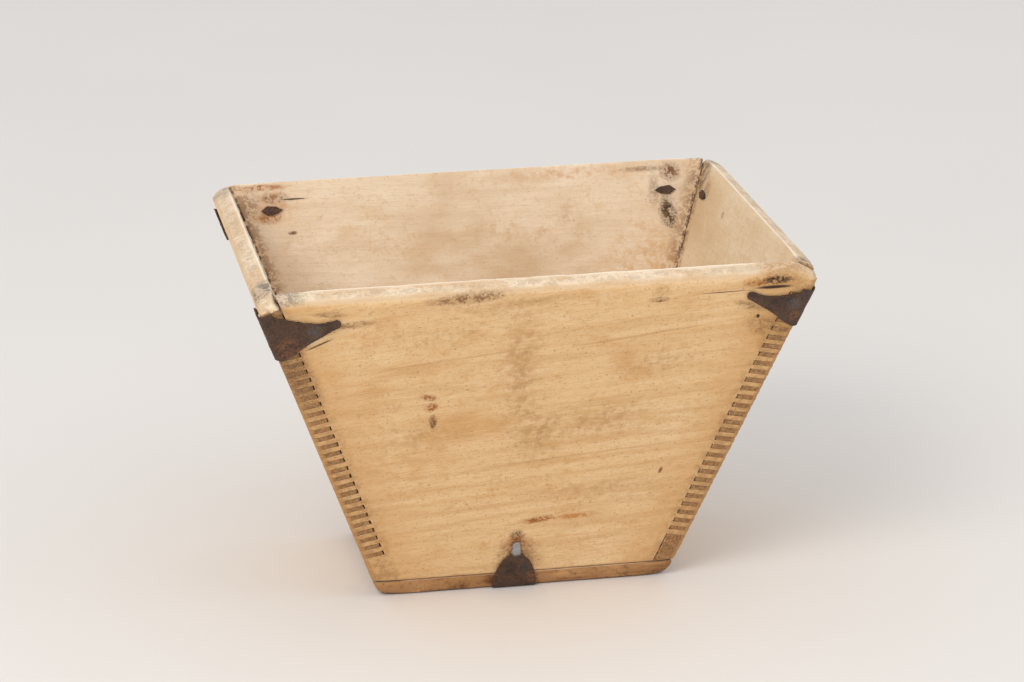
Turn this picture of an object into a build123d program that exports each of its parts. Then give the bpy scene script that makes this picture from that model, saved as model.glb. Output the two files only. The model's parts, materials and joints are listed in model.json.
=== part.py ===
from build123d import *
import math
import os

# A grain and feed scoop: four leaning boards joined at the corners by fine finger combs, a nailed-on
# bottom board, forged irons round the upper corners and smaller irons under the bottom board.
# Millimetres. +Z is up, +X is to the right and the front faces -Y. The origin is under the middle of
# the bottom board, on the surface that the scoop stands on.

# ---- box ----
inner_width = 300.0  # clear width at the rim, left to right
inner_depth = 240.0  # clear depth at the rim, front to back
height = 210.0  # from the ground to the inner edge of the rim
lean = 20.0  # degrees that each board leans out from the vertical
board = 12.5  # thickness of a side board
bottom = 10.5  # thickness of the bottom board
corner_round = 3.5  # radius worked along the four corners
rim_outer_round = 3.0  # wear on the outer edge of the rim
rim_corner_round = 9.0  # wear over the mitre-shaped ridge at each corner of the rim
rim_inner_bevel = 1.5  # wear on the inner edge of the rim
bottom_round = 3.0  # wear round the lower edge of the bottom board

# ---- finger combs ----
finger_rise = 2.8  # height that one finger takes up the corner
bottom_finger = 17.0  # height of the wide finger at the foot of each comb
top_finger = 12.0  # least height left for the wide finger under the rim
cheek_slope = 0.235  # how far the finger cheeks fall towards the corner, per unit along X and Y

# ---- forged irons round the corners ----
iron = 1.8  # thickness of the iron, which stands proud of the wood
spike_width = 4.5  # spike at the point of each arm, measured along the arm
spike_height = 2.4  # the same spike, measured across the arm
clinch_length = 15.0  # spike end hammered over on the far side of the wood
clinch_width = 6.5
clinch = 1.6  # thickness of the hammered end
arm_tip = 3.0  # half the height of an arm's blunt point
# corner: reach along the front or back board, reach along the side board, and then, measured down
# from the rim: the top at the corner, the dip in the top edge, the middle of the point, the foot
corner_irons = {
    "front_left": (43.5, 36.0, 9.5, 14.0, 16.0, 38.5),
    "front_right": (39.0, 36.0, 15.0, 15.5, 14.6, 37.3),
    "back_right": (38.0, 36.5, 14.0, 18.5, 20.0, 40.5),
    "back_left": (37.5, 30.0, 15.5, 18.5, 18.5, 33.0),
}

# ---- irons under the bottom board ----
base_iron_width = 27.5  # across the foot
base_dome = 26.0  # height of the bell, up the board from the ground
base_iron_rise = 35.0  # to the blunt point above the bell
base_neck = 7.0  # width of the arm that leaves the top of the bell
base_clinch_length = 12.0
foot_length = 25.0  # in under the bottom board
foot_tip = 9.0  # width of the foot at its inner end
# side: distance of the iron from the middle of its board, to the right seen from outside
base_irons = {"front": -6.2, "back": 6.0}

# ---- nails ----
nail = 2.2  # square nails, up through the bottom board
nail_bite = 14.0  # how far a nail goes up into the side board
nail_from_corner = 28.0  # along the board from its outer corner

# ---- worked out from those ----
rise = math.cos(math.radians(lean))
run = math.sin(math.radians(lean))
slope = run / rise
rim_outer = height - board * run  # height of the square-cut rim's outer edge
across = board / rise  # thickness of a leaning board, measured level
far = 3 * max(inner_width, inner_depth, height)

# side: outward direction, half the clear distance across the rim, half the clear length along it
sides = {
    "front": (Vector(0, -1, 0), inner_depth / 2, inner_width / 2),
    "right": (Vector(1, 0, 0), inner_width / 2, inner_depth / 2),
    "back": (Vector(0, 1, 0), inner_depth / 2, inner_width / 2),
    "left": (Vector(-1, 0, 0), inner_width / 2, inner_depth / 2),
}
# corner: the board that ends there in a wide lower finger, the board that ends in a wide upper finger
corners = {
    "front_left": ("front", "left"),
    "front_right": ("right", "front"),
    "back_right": ("back", "right"),
    "back_left": ("left", "back"),
}


def face_plane(side):
    """Outer face of a board: x along it to the right, y up the slope from the rim, z outwards."""
    out, half, _ = sides[side]
    origin = out * (half + board * rise) + Vector(0, 0, rim_outer)
    return Plane(origin=origin, x_dir=Vector(0, 0, 1).cross(out), z_dir=out * rise - Vector(0, 0, run))


def on_face(side, x=0.0, y=0.0, z=0.0):
    return face_plane(side).location * Pos(x, y, z)


def end_of(side, y):
    """From the middle of a board to its outer end, at a place y up its slope."""
    return sides[side][2] + board * rise + y * run


def up_slope(z):
    """Place on a board's outer face, y in its face plane, that is at a height above the ground."""
    return (z - rim_outer) / rise


def above(z):
    return Pos(0, 0, z + far / 2) * Box(2 * far, 2 * far, far)


def frustum(grow):
    """The outside of the whole box, with its four corners and its lower edge rounded."""
    solid = Pos(0, 0, (height + board) / 2) * Box(far, far, height + board)
    for side in sides:
        solid -= on_face(side, z=grow + far / 2) * Box(3 * far, 3 * far, far)
    corner_edges = [e for e in solid.edges() if abs((e @ 1 - e @ 0).Z) > height / 2]
    solid = fillet(corner_edges, corner_round + grow)
    return fillet(solid.edges().group_by(Axis.Z)[0], bottom_round)


def slab(side, thickness, z):
    """A wide slab parallel to a board's outer face, with its outer surface at z."""
    return on_face(side, z=z - thickness / 2) * Box(3 * far, 3 * far, thickness)


def in_rim(edge, low, high):
    """True where an edge of the rim keeps between two heights."""
    heights = [(edge @ t).Z for t in (0, 0.5, 1)]
    return min(heights) > low and max(heights) < high


def worn_box(outside):
    """The box before it is parted into boards: hollow, square-cut at the rim and worn there."""
    solid = outside
    hollow = above(bottom)
    for side in sides:
        solid -= on_face(side, y=far / 2, z=far / 2 - board) * Box(3 * far, far, far)
        hollow -= slab(side, far, far - board)
    solid -= hollow
    solid = chamfer([e for e in solid.edges() if in_rim(e, height - 0.01, far)], rim_inner_bevel)
    ridges = [e for e in solid.edges() if in_rim(e, rim_outer - 0.01, far)]
    ridges = [e for e in ridges if abs((e @ 1 - e @ 0).Z) > 0.4 * board * run]
    solid = fillet(ridges, rim_corner_round)
    outer_edge = [e for e in solid.edges() if in_rim(e, rim_outer - 0.01, rim_outer + corner_round * run)]
    return fillet(outer_edge, rim_outer_round)


def corner_direction(corner):
    lower, upper = corners[corner]
    return sides[lower][0] + sides[upper][0]


def comb(corner):
    """The slices of a corner that belong to the board with the wide lower finger."""
    outward = corner_direction(corner)
    up_corner = Vector(outward.X * slope, outward.Y * slope, 1)
    cheek = Vector(outward.X * cheek_slope, outward.Y * cheek_slope, 1).normalized()
    first = bottom + bottom_finger
    pairs = int((rim_outer - top_finger - first) / (2 * finger_rise))
    reach = 3 * across
    spans = [(first - 2 * bottom_finger, first)]
    for pair in range(pairs):
        low = first + (2 * pair + 1) * finger_rise
        spans.append((low, low + finger_rise))
    slices = []
    for low, high in spans:
        z = (low + high) / 2
        half_x = inner_width / 2 + across - (height - z) * slope
        half_y = inner_depth / 2 + across - (height - z) * slope
        place = Vector(outward.X * half_x, outward.Y * half_y, z)
        thick = (high - low) * up_corner.dot(cheek)
        slices.append(Plane(origin=place, z_dir=cheek).location * Box(2 * reach, 2 * reach, thick))
    return Part() + slices


def cut_combs(boards):
    for corner, (lower, upper) in corners.items():
        fingers = comb(corner)
        boards[upper] -= slab(lower, far, far - board) & fingers
        boards[lower] -= slab(upper, far, far - board) - fingers


def driven_point(place, thickness, turn, length):
    """The bent end of an arm: a spike through the wood and the leaf it is hammered into behind it.

    The place has the wood's near face as its xy plane, with z out of the wood, and the leaf runs
    back along the turn, in degrees.
    """
    deep = thickness + clinch / 2
    spike = Pos(0, 0, (iron / 2 - deep) / 2) * Box(spike_width, spike_height, iron / 2 + deep)
    half = clinch_width / 2
    heel = -spike_width
    toe = heel + length
    edge = Polyline(
        (heel, 0),
        (0, 0.8 * half),
        (0.4 * length, half),
        (toe, 0),
        (0.4 * length, -half),
        (0, -0.8 * half),
        close=True,
    )
    leaf = Pos(0, 0, -thickness - clinch) * extrude(make_face(edge), clinch)
    return place * Rot(0, 0, turn) * spike, place * Rot(0, 0, turn) * leaf


def arm_outline(side, hand, reach, levels):
    """One arm of a corner iron on a board's face; hand is -1 at the board's left end, 1 at its right."""
    top, dip, tip, foot = levels
    wrap = corner_round + 2 * iron
    throat = tip + arm_tip

    def place(inset, down):
        return (hand * (end_of(side, -down) - inset), -down)

    def edge(part, fall):
        return place(part * reach, throat + fall * (foot - throat))

    upper = Spline(
        place(-wrap, top),
        place(0.25 * reach, top),
        place(0.62 * reach, dip),
        place(reach - arm_tip, tip - arm_tip),
    )
    point = ThreePointArc(upper @ 1, place(reach, tip), place(reach - arm_tip, throat))
    lower = Spline(point @ 1, edge(0.65, 0.31), edge(0.4, 0.62), edge(0.15, 0.96), place(-wrap, foot))
    return make_face([upper, point, lower, Line(lower @ 1, upper @ 0)])


def corner_iron(corner, skin, boards):
    """A forged leaf bent round a corner, with its two points driven through the wood and clinched."""
    front_reach, side_reach, *levels = corner_irons[corner]
    arms = []
    points = []
    for side in corners[corner]:
        reach = front_reach if side in ("front", "back") else side_reach
        hand = -1 if side == corners[corner][0] else 1
        arm = extrude(arm_outline(side, hand, reach, levels), 2 * corner_round, both=True)
        arms.append(face_plane(side).location * arm)
        y = -levels[2]
        x = hand * (end_of(side, y) - reach + arm_tip)
        spike, leaf = driven_point(on_face(side, x, y), board, 0 if hand > 0 else 180, clinch_length)
        boards[side] -= spike
        points += [spike, leaf]
    return (skin & (arms[0] + arms[1])) + points


def bell_outline(side):
    """The bell-shaped front of a base iron, from below the ground up to its blunt point."""
    x = base_irons[side]
    ground = up_slope(0)
    dome = ground + base_dome
    tip = ground + base_iron_rise
    half = base_iron_width / 2
    neck = base_neck / 2

    def flank(hand):
        low = (x + hand * half, ground)
        waist = (x + hand * 0.93 * half, ground + 0.35 * base_dome)
        shoulder = (x + hand * 0.66 * half, ground + 0.75 * base_dome)
        return [low, waist, shoulder, (x + hand * neck, dome)]

    right = Spline(*flank(1))
    left = Spline(*flank(-1)[::-1])
    arm = Polyline(right @ 1, (x + 0.7 * neck, tip), (x - 0.7 * neck, tip), left @ 0)
    below = ground - 2 * iron
    low = Polyline(left @ 1, (x - half, below), (x + half, below), right @ 0)
    return make_face([right, arm, left, low])


def base_iron(side, outer, skin, boards):
    """A forged bell bent under the edge: an arm up the side board and a foot let in under the bottom."""
    out, half_across, _ = sides[side]
    x = base_irons[side]
    bell = skin & face_plane(side).location * extrude(bell_outline(side), 2 * board, both=True)
    tip_y = up_slope(0) + base_iron_rise - base_neck / 2
    upper = driven_point(on_face(side, x, tip_y), board, 90, base_clinch_length)
    boards[side] -= upper[0]

    edge = half_across + across - height * slope
    under = Plane(origin=out * edge, x_dir=face_plane(side).x_dir, z_dir=(0, 0, -1)).location
    half = base_iron_width / 2
    foot_shape = Polyline(
        (x - half, board),
        (x + half, board),
        (x + half, -bottom_round),
        (x + foot_tip / 2, -foot_length),
        (x - foot_tip / 2, -foot_length),
        (x - half, -bottom_round),
        close=True,
    )
    foot = under * extrude(make_face(foot_shape), -iron)
    inset = foot_length - foot_tip / 2
    lower = driven_point(under * Pos(x, -inset, -iron), bottom - iron, -90, base_clinch_length)
    boards["bottom"] -= foot
    boards["bottom"] -= lower[0]
    return bell + (outer & foot) + [*upper, *lower]


def nails_up(side):
    """Square nails through the bottom board and up the middle of a side board, heads filed flush."""
    reach = end_of(side, up_slope(bottom)) - nail_from_corner
    length = bottom / rise + nail_bite
    place_y = up_slope(bottom) + nail_bite - length
    nails = []
    for x in (-reach, reach):
        nails.append(on_face(side, x, place_y, -board / 2) * Box(nail, 2 * length, nail) & above(0))
    return nails


def build():
    outside = frustum(0)
    outer = frustum(iron)
    skin = outer - outside

    box = worn_box(outside)
    walls = box & above(bottom)
    boards = {side: walls & slab(side, board, 0) for side in sides}
    cut_combs(boards)
    boards["bottom"] = box - above(bottom)

    nodes = {}
    for corner in corners:
        nodes[f"corner_iron_{corner}"] = corner_iron(corner, skin, boards)
    for side in base_irons:
        nodes[f"base_iron_{side}"] = base_iron(side, outer, skin, boards)
    nails = []
    for side in sides:
        for one in nails_up(side):
            boards[side] -= one
            boards["bottom"] -= one
            nails.append(one)
    nodes["bottom_nails"] = Compound(children=nails)
    for name, wood in boards.items():
        nodes[f"{name}_board"] = wood
    return nodes


os.makedirs("parts", exist_ok=True)
for name, shape in build().items():
    export_step(shape, f"parts/{name}.step")
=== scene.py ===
"""A grain scoop: four leaning boards combed together at the corners, a bottom board and forged irons."""

import json
import math

import bpy
from mathutils import Matrix, Vector

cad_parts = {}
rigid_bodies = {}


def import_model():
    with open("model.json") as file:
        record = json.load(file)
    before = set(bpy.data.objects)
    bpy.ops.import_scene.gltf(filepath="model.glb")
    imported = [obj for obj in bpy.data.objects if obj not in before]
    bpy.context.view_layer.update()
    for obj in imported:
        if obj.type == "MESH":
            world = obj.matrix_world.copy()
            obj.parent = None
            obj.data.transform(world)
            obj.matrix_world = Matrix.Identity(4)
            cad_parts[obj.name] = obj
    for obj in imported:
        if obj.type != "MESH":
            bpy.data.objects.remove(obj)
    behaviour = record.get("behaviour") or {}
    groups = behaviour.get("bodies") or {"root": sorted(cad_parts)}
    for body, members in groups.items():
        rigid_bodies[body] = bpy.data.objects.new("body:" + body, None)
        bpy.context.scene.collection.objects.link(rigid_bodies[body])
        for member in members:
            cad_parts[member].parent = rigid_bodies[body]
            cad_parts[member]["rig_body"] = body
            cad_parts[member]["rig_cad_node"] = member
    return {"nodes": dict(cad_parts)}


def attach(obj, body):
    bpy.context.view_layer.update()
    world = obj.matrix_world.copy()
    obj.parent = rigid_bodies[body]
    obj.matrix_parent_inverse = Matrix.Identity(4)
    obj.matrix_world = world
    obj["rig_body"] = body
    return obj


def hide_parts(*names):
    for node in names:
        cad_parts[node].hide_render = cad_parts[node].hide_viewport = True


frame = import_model()

bl_info = {
    "name": "Grain scoop",
    "version": (1, 0, 0),
    "blender": (4, 5, 0),
    "location": "3D View > Sidebar > Scoop",
    "description": "Builds the worn boards and forged irons of a grain scoop",
    "category": "Object",
}

MM = 0.001
UP = Vector((0, 0, 1))
OUT = {
    "front": Vector((0, -1, 0)),
    "right": Vector((1, 0, 0)),
    "back": Vector((0, 1, 0)),
    "left": Vector((-1, 0, 0)),
}
NEXT_TO = {
    "front": ("left", "right"),
    "right": ("front", "back"),
    "back": ("right", "left"),
    "left": ("back", "front"),
}
# corner: the board with the wide lower finger, the board with the wide upper finger
CORNERS = {
    "front_left": ("front", "left"),
    "front_right": ("right", "front"),
    "back_right": ("back", "right"),
    "back_left": ("left", "back"),
}


# ---------------------------------------------------------------- settings


def length(name, default, description):
    """A length in metres that the panel can change."""
    return bpy.props.FloatProperty(name=name, description=description, default=default, unit="LENGTH")


class ScoopBox(bpy.types.PropertyGroup):
    """Sizes of the box, the same as in the CAD part."""

    inner_width: length("Inner width", 0.300, "Clear width at the rim")
    inner_depth: length("Inner depth", 0.240, "Clear depth at the rim")
    height: length("Height", 0.210, "Ground to the inner edge of the rim")
    lean: bpy.props.FloatProperty(
        name="Lean", description="How far each board leans out", default=math.radians(20.0), subtype="ANGLE"
    )
    board: length("Board", 0.0125, "Thickness of a side board")
    bottom: length("Bottom", 0.0105, "Thickness of the bottom board")
    finger: length("Finger", 0.0028, "Height of one comb finger")
    comb_start: length("Comb start", 0.0275, "Height of the first narrow finger")
    comb_pairs: bpy.props.IntProperty(
        name="Finger pairs", description="Pairs of narrow fingers in a comb", default=29
    )
    cheek_slope: bpy.props.FloatProperty(
        name="Cheek slope", description="Fall of the finger cheeks towards the corner", default=0.235
    )


class ScoopWear(bpy.types.PropertyGroup):
    """How worn the wood and the iron are."""

    grid: length("Grid", 0.0015, "Size of the faces that carry the wear")
    rim_waves: length("Rim waves", 0.0006, "Depth of the long waves in the rim")
    rim_nicks: length("Rim nicks", 0.0005, "Depth of the small nicks in the rim")
    face_dents: length("Face dents", 0.0003, "Depth of the dents in the faces")
    fine_dents: length("Fine dents", 0.0002, "Depth of the fine dents underneath")
    foot_dents: length("Foot dents", 0.0007, "Depth of the wear at the foot")
    comb_gap: length("Comb gap", 0.00006, "Gap beside each finger")
    comb_pit: length("Comb pit", 0.0004, "How far the saw ran past each slot")
    iron_grid: length("Iron grid", 0.0005, "Size of the faces of the forged irons")
    iron_dents: length("Iron dents", 0.0005, "Depth of hammer marks and rust pits")


# ---------------------------------------------------------------- the box's planes


def box():
    return bpy.context.scene.scoop_box


def wear():
    return bpy.context.scene.scoop_wear


def rise():
    return math.cos(box().lean)


def run():
    return math.sin(box().lean)


def half_out(side):
    """Half the clear distance across the rim towards a side."""
    return (box().inner_depth if side in ("front", "back") else box().inner_width) / 2


def half_along(side):
    return (box().inner_width if side in ("front", "back") else box().inner_depth) / 2


def facing(side):
    """Outward normal of a board."""
    return OUT[side] * rise() - UP * run()


def up_board(side):
    return OUT[side] * run() + UP * rise()


def along(side):
    """Along a board, to the right seen from outside."""
    return UP.cross(OUT[side])


def inner_edge(side):
    """A point on the inner edge of the rim."""
    return OUT[side] * half_out(side) + UP * box().height


def rim_origin(side):
    """Middle of the rim's outer edge: the origin of the board's own places."""
    return inner_edge(side) + facing(side) * box().board


def inner_point(one, two):
    """Where two inner faces meet the rim."""
    return OUT[one] * half_out(one) + OUT[two] * half_out(two) + UP * box().height


def corner_signs(corner):
    lower, upper = CORNERS[corner]
    both = OUT[lower] + OUT[upper]
    return both.x, both.y


def corner_point(corner, z):
    """Where two outer faces meet, at a height."""
    sx, sy = corner_signs(corner)
    back_in = (box().height - z) * run() / rise()
    level = box().board / rise() - back_in
    return Vector((sx * (box().inner_width / 2 + level), sy * (box().inner_depth / 2 + level), z))


# ---------------------------------------------------------------- shaping by hand


def rest():
    if bpy.context.mode != "OBJECT":
        bpy.ops.object.mode_set(mode="OBJECT")
    bpy.ops.object.select_all(action="DESELECT")


def take(piece):
    rest()
    piece.hide_set(False)
    piece.select_set(True)
    bpy.context.view_layer.objects.active = piece


def block(name, centre, size):
    """A block at its place, with its place in the mesh."""
    rest()
    bpy.ops.mesh.primitive_cube_add(size=1, location=centre, scale=(size, size, size))
    piece = bpy.context.active_object
    piece.name = name
    piece.data.name = name
    bpy.ops.object.transform_apply(location=True, rotation=True, scale=True)
    return piece


def trim(piece, cuts):
    """Saws off whatever lies past each (point, normal)."""
    take(piece)
    bpy.ops.object.mode_set(mode="EDIT")
    for point, normal in cuts:
        bpy.ops.mesh.select_all(action="SELECT")
        bpy.ops.mesh.bisect(plane_co=point, plane_no=normal, use_fill=True, clear_outer=True)
    bpy.ops.mesh.select_all(action="SELECT")
    bpy.ops.mesh.normals_make_consistent(inside=False)
    bpy.ops.object.mode_set(mode="OBJECT")
    if not piece.data.polygons:
        raise RuntimeError(f"{piece.name}: nothing was left after trimming")
    return piece


def copy_of(piece, name):
    take(piece)
    bpy.ops.object.duplicate()
    made = bpy.context.active_object
    made.name = name
    made.data.name = name
    return made


def join(pieces, name):
    rest()
    for piece in pieces:
        piece.select_set(True)
    bpy.context.view_layer.objects.active = pieces[0]
    if len(pieces) > 1:
        bpy.ops.object.join()
    pieces[0].name = name
    return pieces[0]


def remove(piece):
    take(piece)
    bpy.ops.object.delete()


def apply(piece, kind, **values):
    """Adds a modifier, sets it and applies it."""
    take(piece)
    modifier = piece.modifiers.new(kind.title(), kind)
    for key, value in values.items():
        setattr(modifier, key, value)
    bpy.ops.object.modifier_apply(modifier=modifier.name)
    return piece


def weigh(piece, name, rule):
    """Adds a vertex group whose weights come from each point's place."""
    group = piece.vertex_groups.new(name=name)
    for vertex in piece.data.vertices:
        weight = rule(vertex.co)
        if weight > 0.01:
            group.add([vertex.index], min(weight, 1.0), "REPLACE")


def clouds(name, size):
    texture = bpy.data.textures.get(name)
    if texture is None:
        texture = bpy.data.textures.new(name, "CLOUDS")
        texture.noise_scale = size
        texture.noise_depth = 2
    return texture


def dent(piece, depth, size, group=""):
    """Wears the surface inwards, never outwards, by a cloudy amount."""
    texture = clouds(f"clouds_{round(size / MM * 10)}", size)
    return apply(
        piece,
        "DISPLACE",
        texture=texture,
        texture_coords="GLOBAL",
        direction="NORMAL",
        strength=depth,
        mid_level=1.0,
        vertex_group=group,
    )


def grid_over(piece, size):
    """Gives a plainly cut blank an even grid of faces that still lies on its surfaces."""
    plain = copy_of(piece, "plain_blank")
    apply(piece, "REMESH", mode="VOXEL", voxel_size=size, adaptivity=0.0)
    apply(piece, "SHRINKWRAP", target=plain, wrap_method="NEAREST_SURFACEPOINT")
    remove(plain)
    return piece


def cut(piece, tool):
    apply(piece, "BOOLEAN", object=tool, operation="DIFFERENCE", solver="MANIFOLD")
    remove(tool)
    if len(piece.data.polygons) < 100:
        raise RuntimeError(f"{piece.name}: the cut took everything")
    return piece


def close_to(distance, reach):
    """1 at a place, falling to 0 at a distance."""
    return max(0.0, 1.0 - abs(distance) / reach)


def finish_piece(piece, material, nodes=(), angle=40.0):
    take(piece)
    bpy.ops.object.shade_smooth_by_angle(angle=math.radians(angle))
    piece.data.materials.clear()
    piece.data.materials.append(material)
    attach(piece, "root")
    if nodes:
        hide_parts(*nodes)
    return piece


# ---------------------------------------------------------------- materials


class Finish:
    """Lays out the nodes of one material."""

    def __init__(self, name):
        self.material = bpy.data.materials.new(name)
        self.material.use_nodes = True
        self.tree = self.material.node_tree
        self.tree.nodes.clear()
        self.coords = self.node("ShaderNodeTexCoord")
        self.where = self.coords.outputs["Object"]
        self.normal = self.coords.outputs["Normal"]

    def node(self, kind, inputs=None, **settings):
        made = self.tree.nodes.new(kind)
        for key, value in settings.items():
            setattr(made, key, value)
        for key, value in (inputs or {}).items():
            self.feed(made.inputs[key], value)
        return made

    def feed(self, socket, value):
        if isinstance(value, bpy.types.NodeSocket):
            self.tree.links.new(value, socket)
        else:
            socket.default_value = value

    def math(self, operation, *values):
        return self.node("ShaderNodeMath", dict(enumerate(values)), operation=operation).outputs[0]

    def times(self, *values):
        total = values[0]
        for value in values[1:]:
            total = self.math("MULTIPLY", total, value)
        return total

    def scaled(self, value, gain, plus):
        return self.math("MULTIPLY_ADD", value, gain, plus)

    def rest_of(self, value):
        """What is left of 1."""
        return self.math("SUBTRACT", 1.0, value)

    def size_of(self, value):
        return self.math("ABSOLUTE", value)

    def length(self, where):
        return self.node("ShaderNodeVectorMath", {0: where}, operation="LENGTH").outputs["Value"]

    def lean_on(self, direction):
        """How far the surface faces a direction."""
        made = self.node("ShaderNodeVectorMath", {0: self.normal, 1: direction}, operation="DOT_PRODUCT")
        return made.outputs["Value"]

    def step(self, value, low, high):
        """0 below low, 1 above high, smooth between."""
        made = self.node(
            "ShaderNodeMapRange",
            {"Value": value, "From Min": low, "From Max": high},
            interpolation_type="SMOOTHSTEP",
        )
        return made.outputs["Result"]

    def place(self, where, location=(0, 0, 0), turn=(0, 0, 0), size=(1, 1, 1)):
        """The same places, told from an origin at a location, turned, and in units of a size."""
        made = self.node(
            "ShaderNodeMapping",
            {"Vector": where, "Location": location, "Rotation": turn, "Scale": size},
            vector_type="TEXTURE",
        )
        return made.outputs["Vector"]

    def apart(self, where):
        return self.node("ShaderNodeSeparateXYZ", {0: where}).outputs

    def noise(self, where, size, detail=3.0, rough=0.5):
        """Cloudy noise whose lumps are about size metres across, which may differ along x, y and z."""
        if isinstance(size, tuple):
            where = self.place(where, size=size)
            scale = 1.0
        else:
            scale = 1.0 / size
        made = self.node(
            "ShaderNodeTexNoise", {"Vector": where, "Scale": scale, "Detail": detail, "Roughness": rough}
        )
        return made.outputs["Fac"]

    def pits(self, where, size):
        """Distance from scattered points."""
        return self.node("ShaderNodeTexVoronoi", {"Vector": where, "Scale": 1.0 / size}).outputs["Distance"]

    def spot(self, where, centre, half, turn, ragged, rag, soft):
        """A patch round a place on the face, in millimetres, with a ragged soft edge."""
        size = (half[0] * MM, half[1] * MM, 1.0)
        at = self.place(where, (centre[0] * MM, centre[1] * MM, 0), (0, 0, math.radians(turn)), size)
        away = self.scaled(ragged, 2 * rag, self.math("SUBTRACT", self.length(at), rag))
        return self.rest_of(self.step(away, 1.0 - soft, 1.0 + soft * 0.4))

    def ball(self, centre, radius, ragged):
        """A ragged patch round a place in millimetres."""
        at = self.place(self.where, Vector(centre) * MM, size=(radius * MM,) * 3)
        away = self.math("ADD", self.length(at), self.scaled(ragged, 1.2, -0.6))
        return self.rest_of(self.step(away, 0.55, 1.15))

    def tint(self, shade, stain, strength, value, low, high):
        """Adds a stain, in full where the value is past high and not at all before low."""
        return self.mix(self.times(self.step(value, low, high), strength), shade, stain)

    def mix(self, amount, first, second):
        made = self.node("ShaderNodeMix", {"Factor": amount}, data_type="RGBA", clamp_factor=True)
        self.feed(made.inputs[6], colour(first))
        self.feed(made.inputs[7], colour(second))
        return made.outputs[2]

    def ramp(self, amount, stops):
        made = self.node("ShaderNodeValToRGB", {0: amount})
        while len(made.color_ramp.elements) < len(stops):
            made.color_ramp.elements.new(0.5)
        for element, (position, shade) in zip(made.color_ramp.elements, stops):
            element.position = position
            element.color = colour(shade)
        return made.outputs["Color"]

    def bump(self, height, distance, strength=1.0, under=None):
        inputs = {"Height": height, "Distance": distance, "Strength": strength}
        if under is not None:
            inputs["Normal"] = under
        return self.node("ShaderNodeBump", inputs).outputs["Normal"]

    def done(self, shade, rough, normal, metal=0.0, specular=0.3):
        shader = self.node(
            "ShaderNodeBsdfPrincipled",
            {
                "Base Color": colour(shade),
                "Roughness": rough,
                "Normal": normal,
                "Metallic": metal,
                "Specular IOR Level": specular,
            },
        )
        output = self.node("ShaderNodeOutputMaterial", {"Surface": shader.outputs[0]})
        output.is_active_output = True
        return self.material


def colour(value):
    """A colour socket is passed on; three numbers become a colour."""
    if isinstance(value, bpy.types.NodeSocket) or len(value) == 4:
        return value
    return (*value, 1.0)


# the wood's colours, from the palest worn edge to the darkest dirt
CREAM = (0.76, 0.60, 0.42)
PALE = (0.81, 0.585, 0.335)
HONEY = (0.74, 0.495, 0.255)
LIGHT_HONEY = (0.735, 0.49, 0.255)
GOLD = (0.62, 0.355, 0.14)
AMBER = (0.56, 0.31, 0.125)
TAN = (0.40, 0.205, 0.075)
BROWN = (0.155, 0.062, 0.022)
UMBER = (0.050, 0.024, 0.013)
GREY_DIRT = (0.30, 0.235, 0.165)
RUST_RED = (0.32, 0.105, 0.025)
RUST_ORANGE = (0.46, 0.18, 0.035)
INSIDE = (0.78, 0.635, 0.465)
INSIDE_MID = (0.72, 0.56, 0.39)
INSIDE_DARK = (0.60, 0.42, 0.26)
INSIDE_PATCH = (0.62, 0.40, 0.21)
INSIDE_FLECK = (0.56, 0.36, 0.19)
INSIDE_PAINTED_SHADE = (0.60, 0.43, 0.23)
CORNER_GRIME = (0.27, 0.135, 0.07)
BESIDE_COMB = (0.60, 0.33, 0.125)
END_GRAIN = (0.36, 0.185, 0.072)
END_GRAIN_DARK = (0.23, 0.115, 0.048)
CORNER_STRIP = (0.46, 0.235, 0.085)
COMB_SMUDGE = (0.17, 0.085, 0.04)
RIM_WORN = (0.66, 0.46, 0.28)
RIM_OUTER = (0.55, 0.36, 0.19)
RIM_INNER = (0.86, 0.75, 0.60)
ARRIS = (0.74, 0.55, 0.36)
UNDERSIDE = (0.44, 0.23, 0.10)
BOTTOM_INSIDE = (0.40, 0.25, 0.14)

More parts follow.
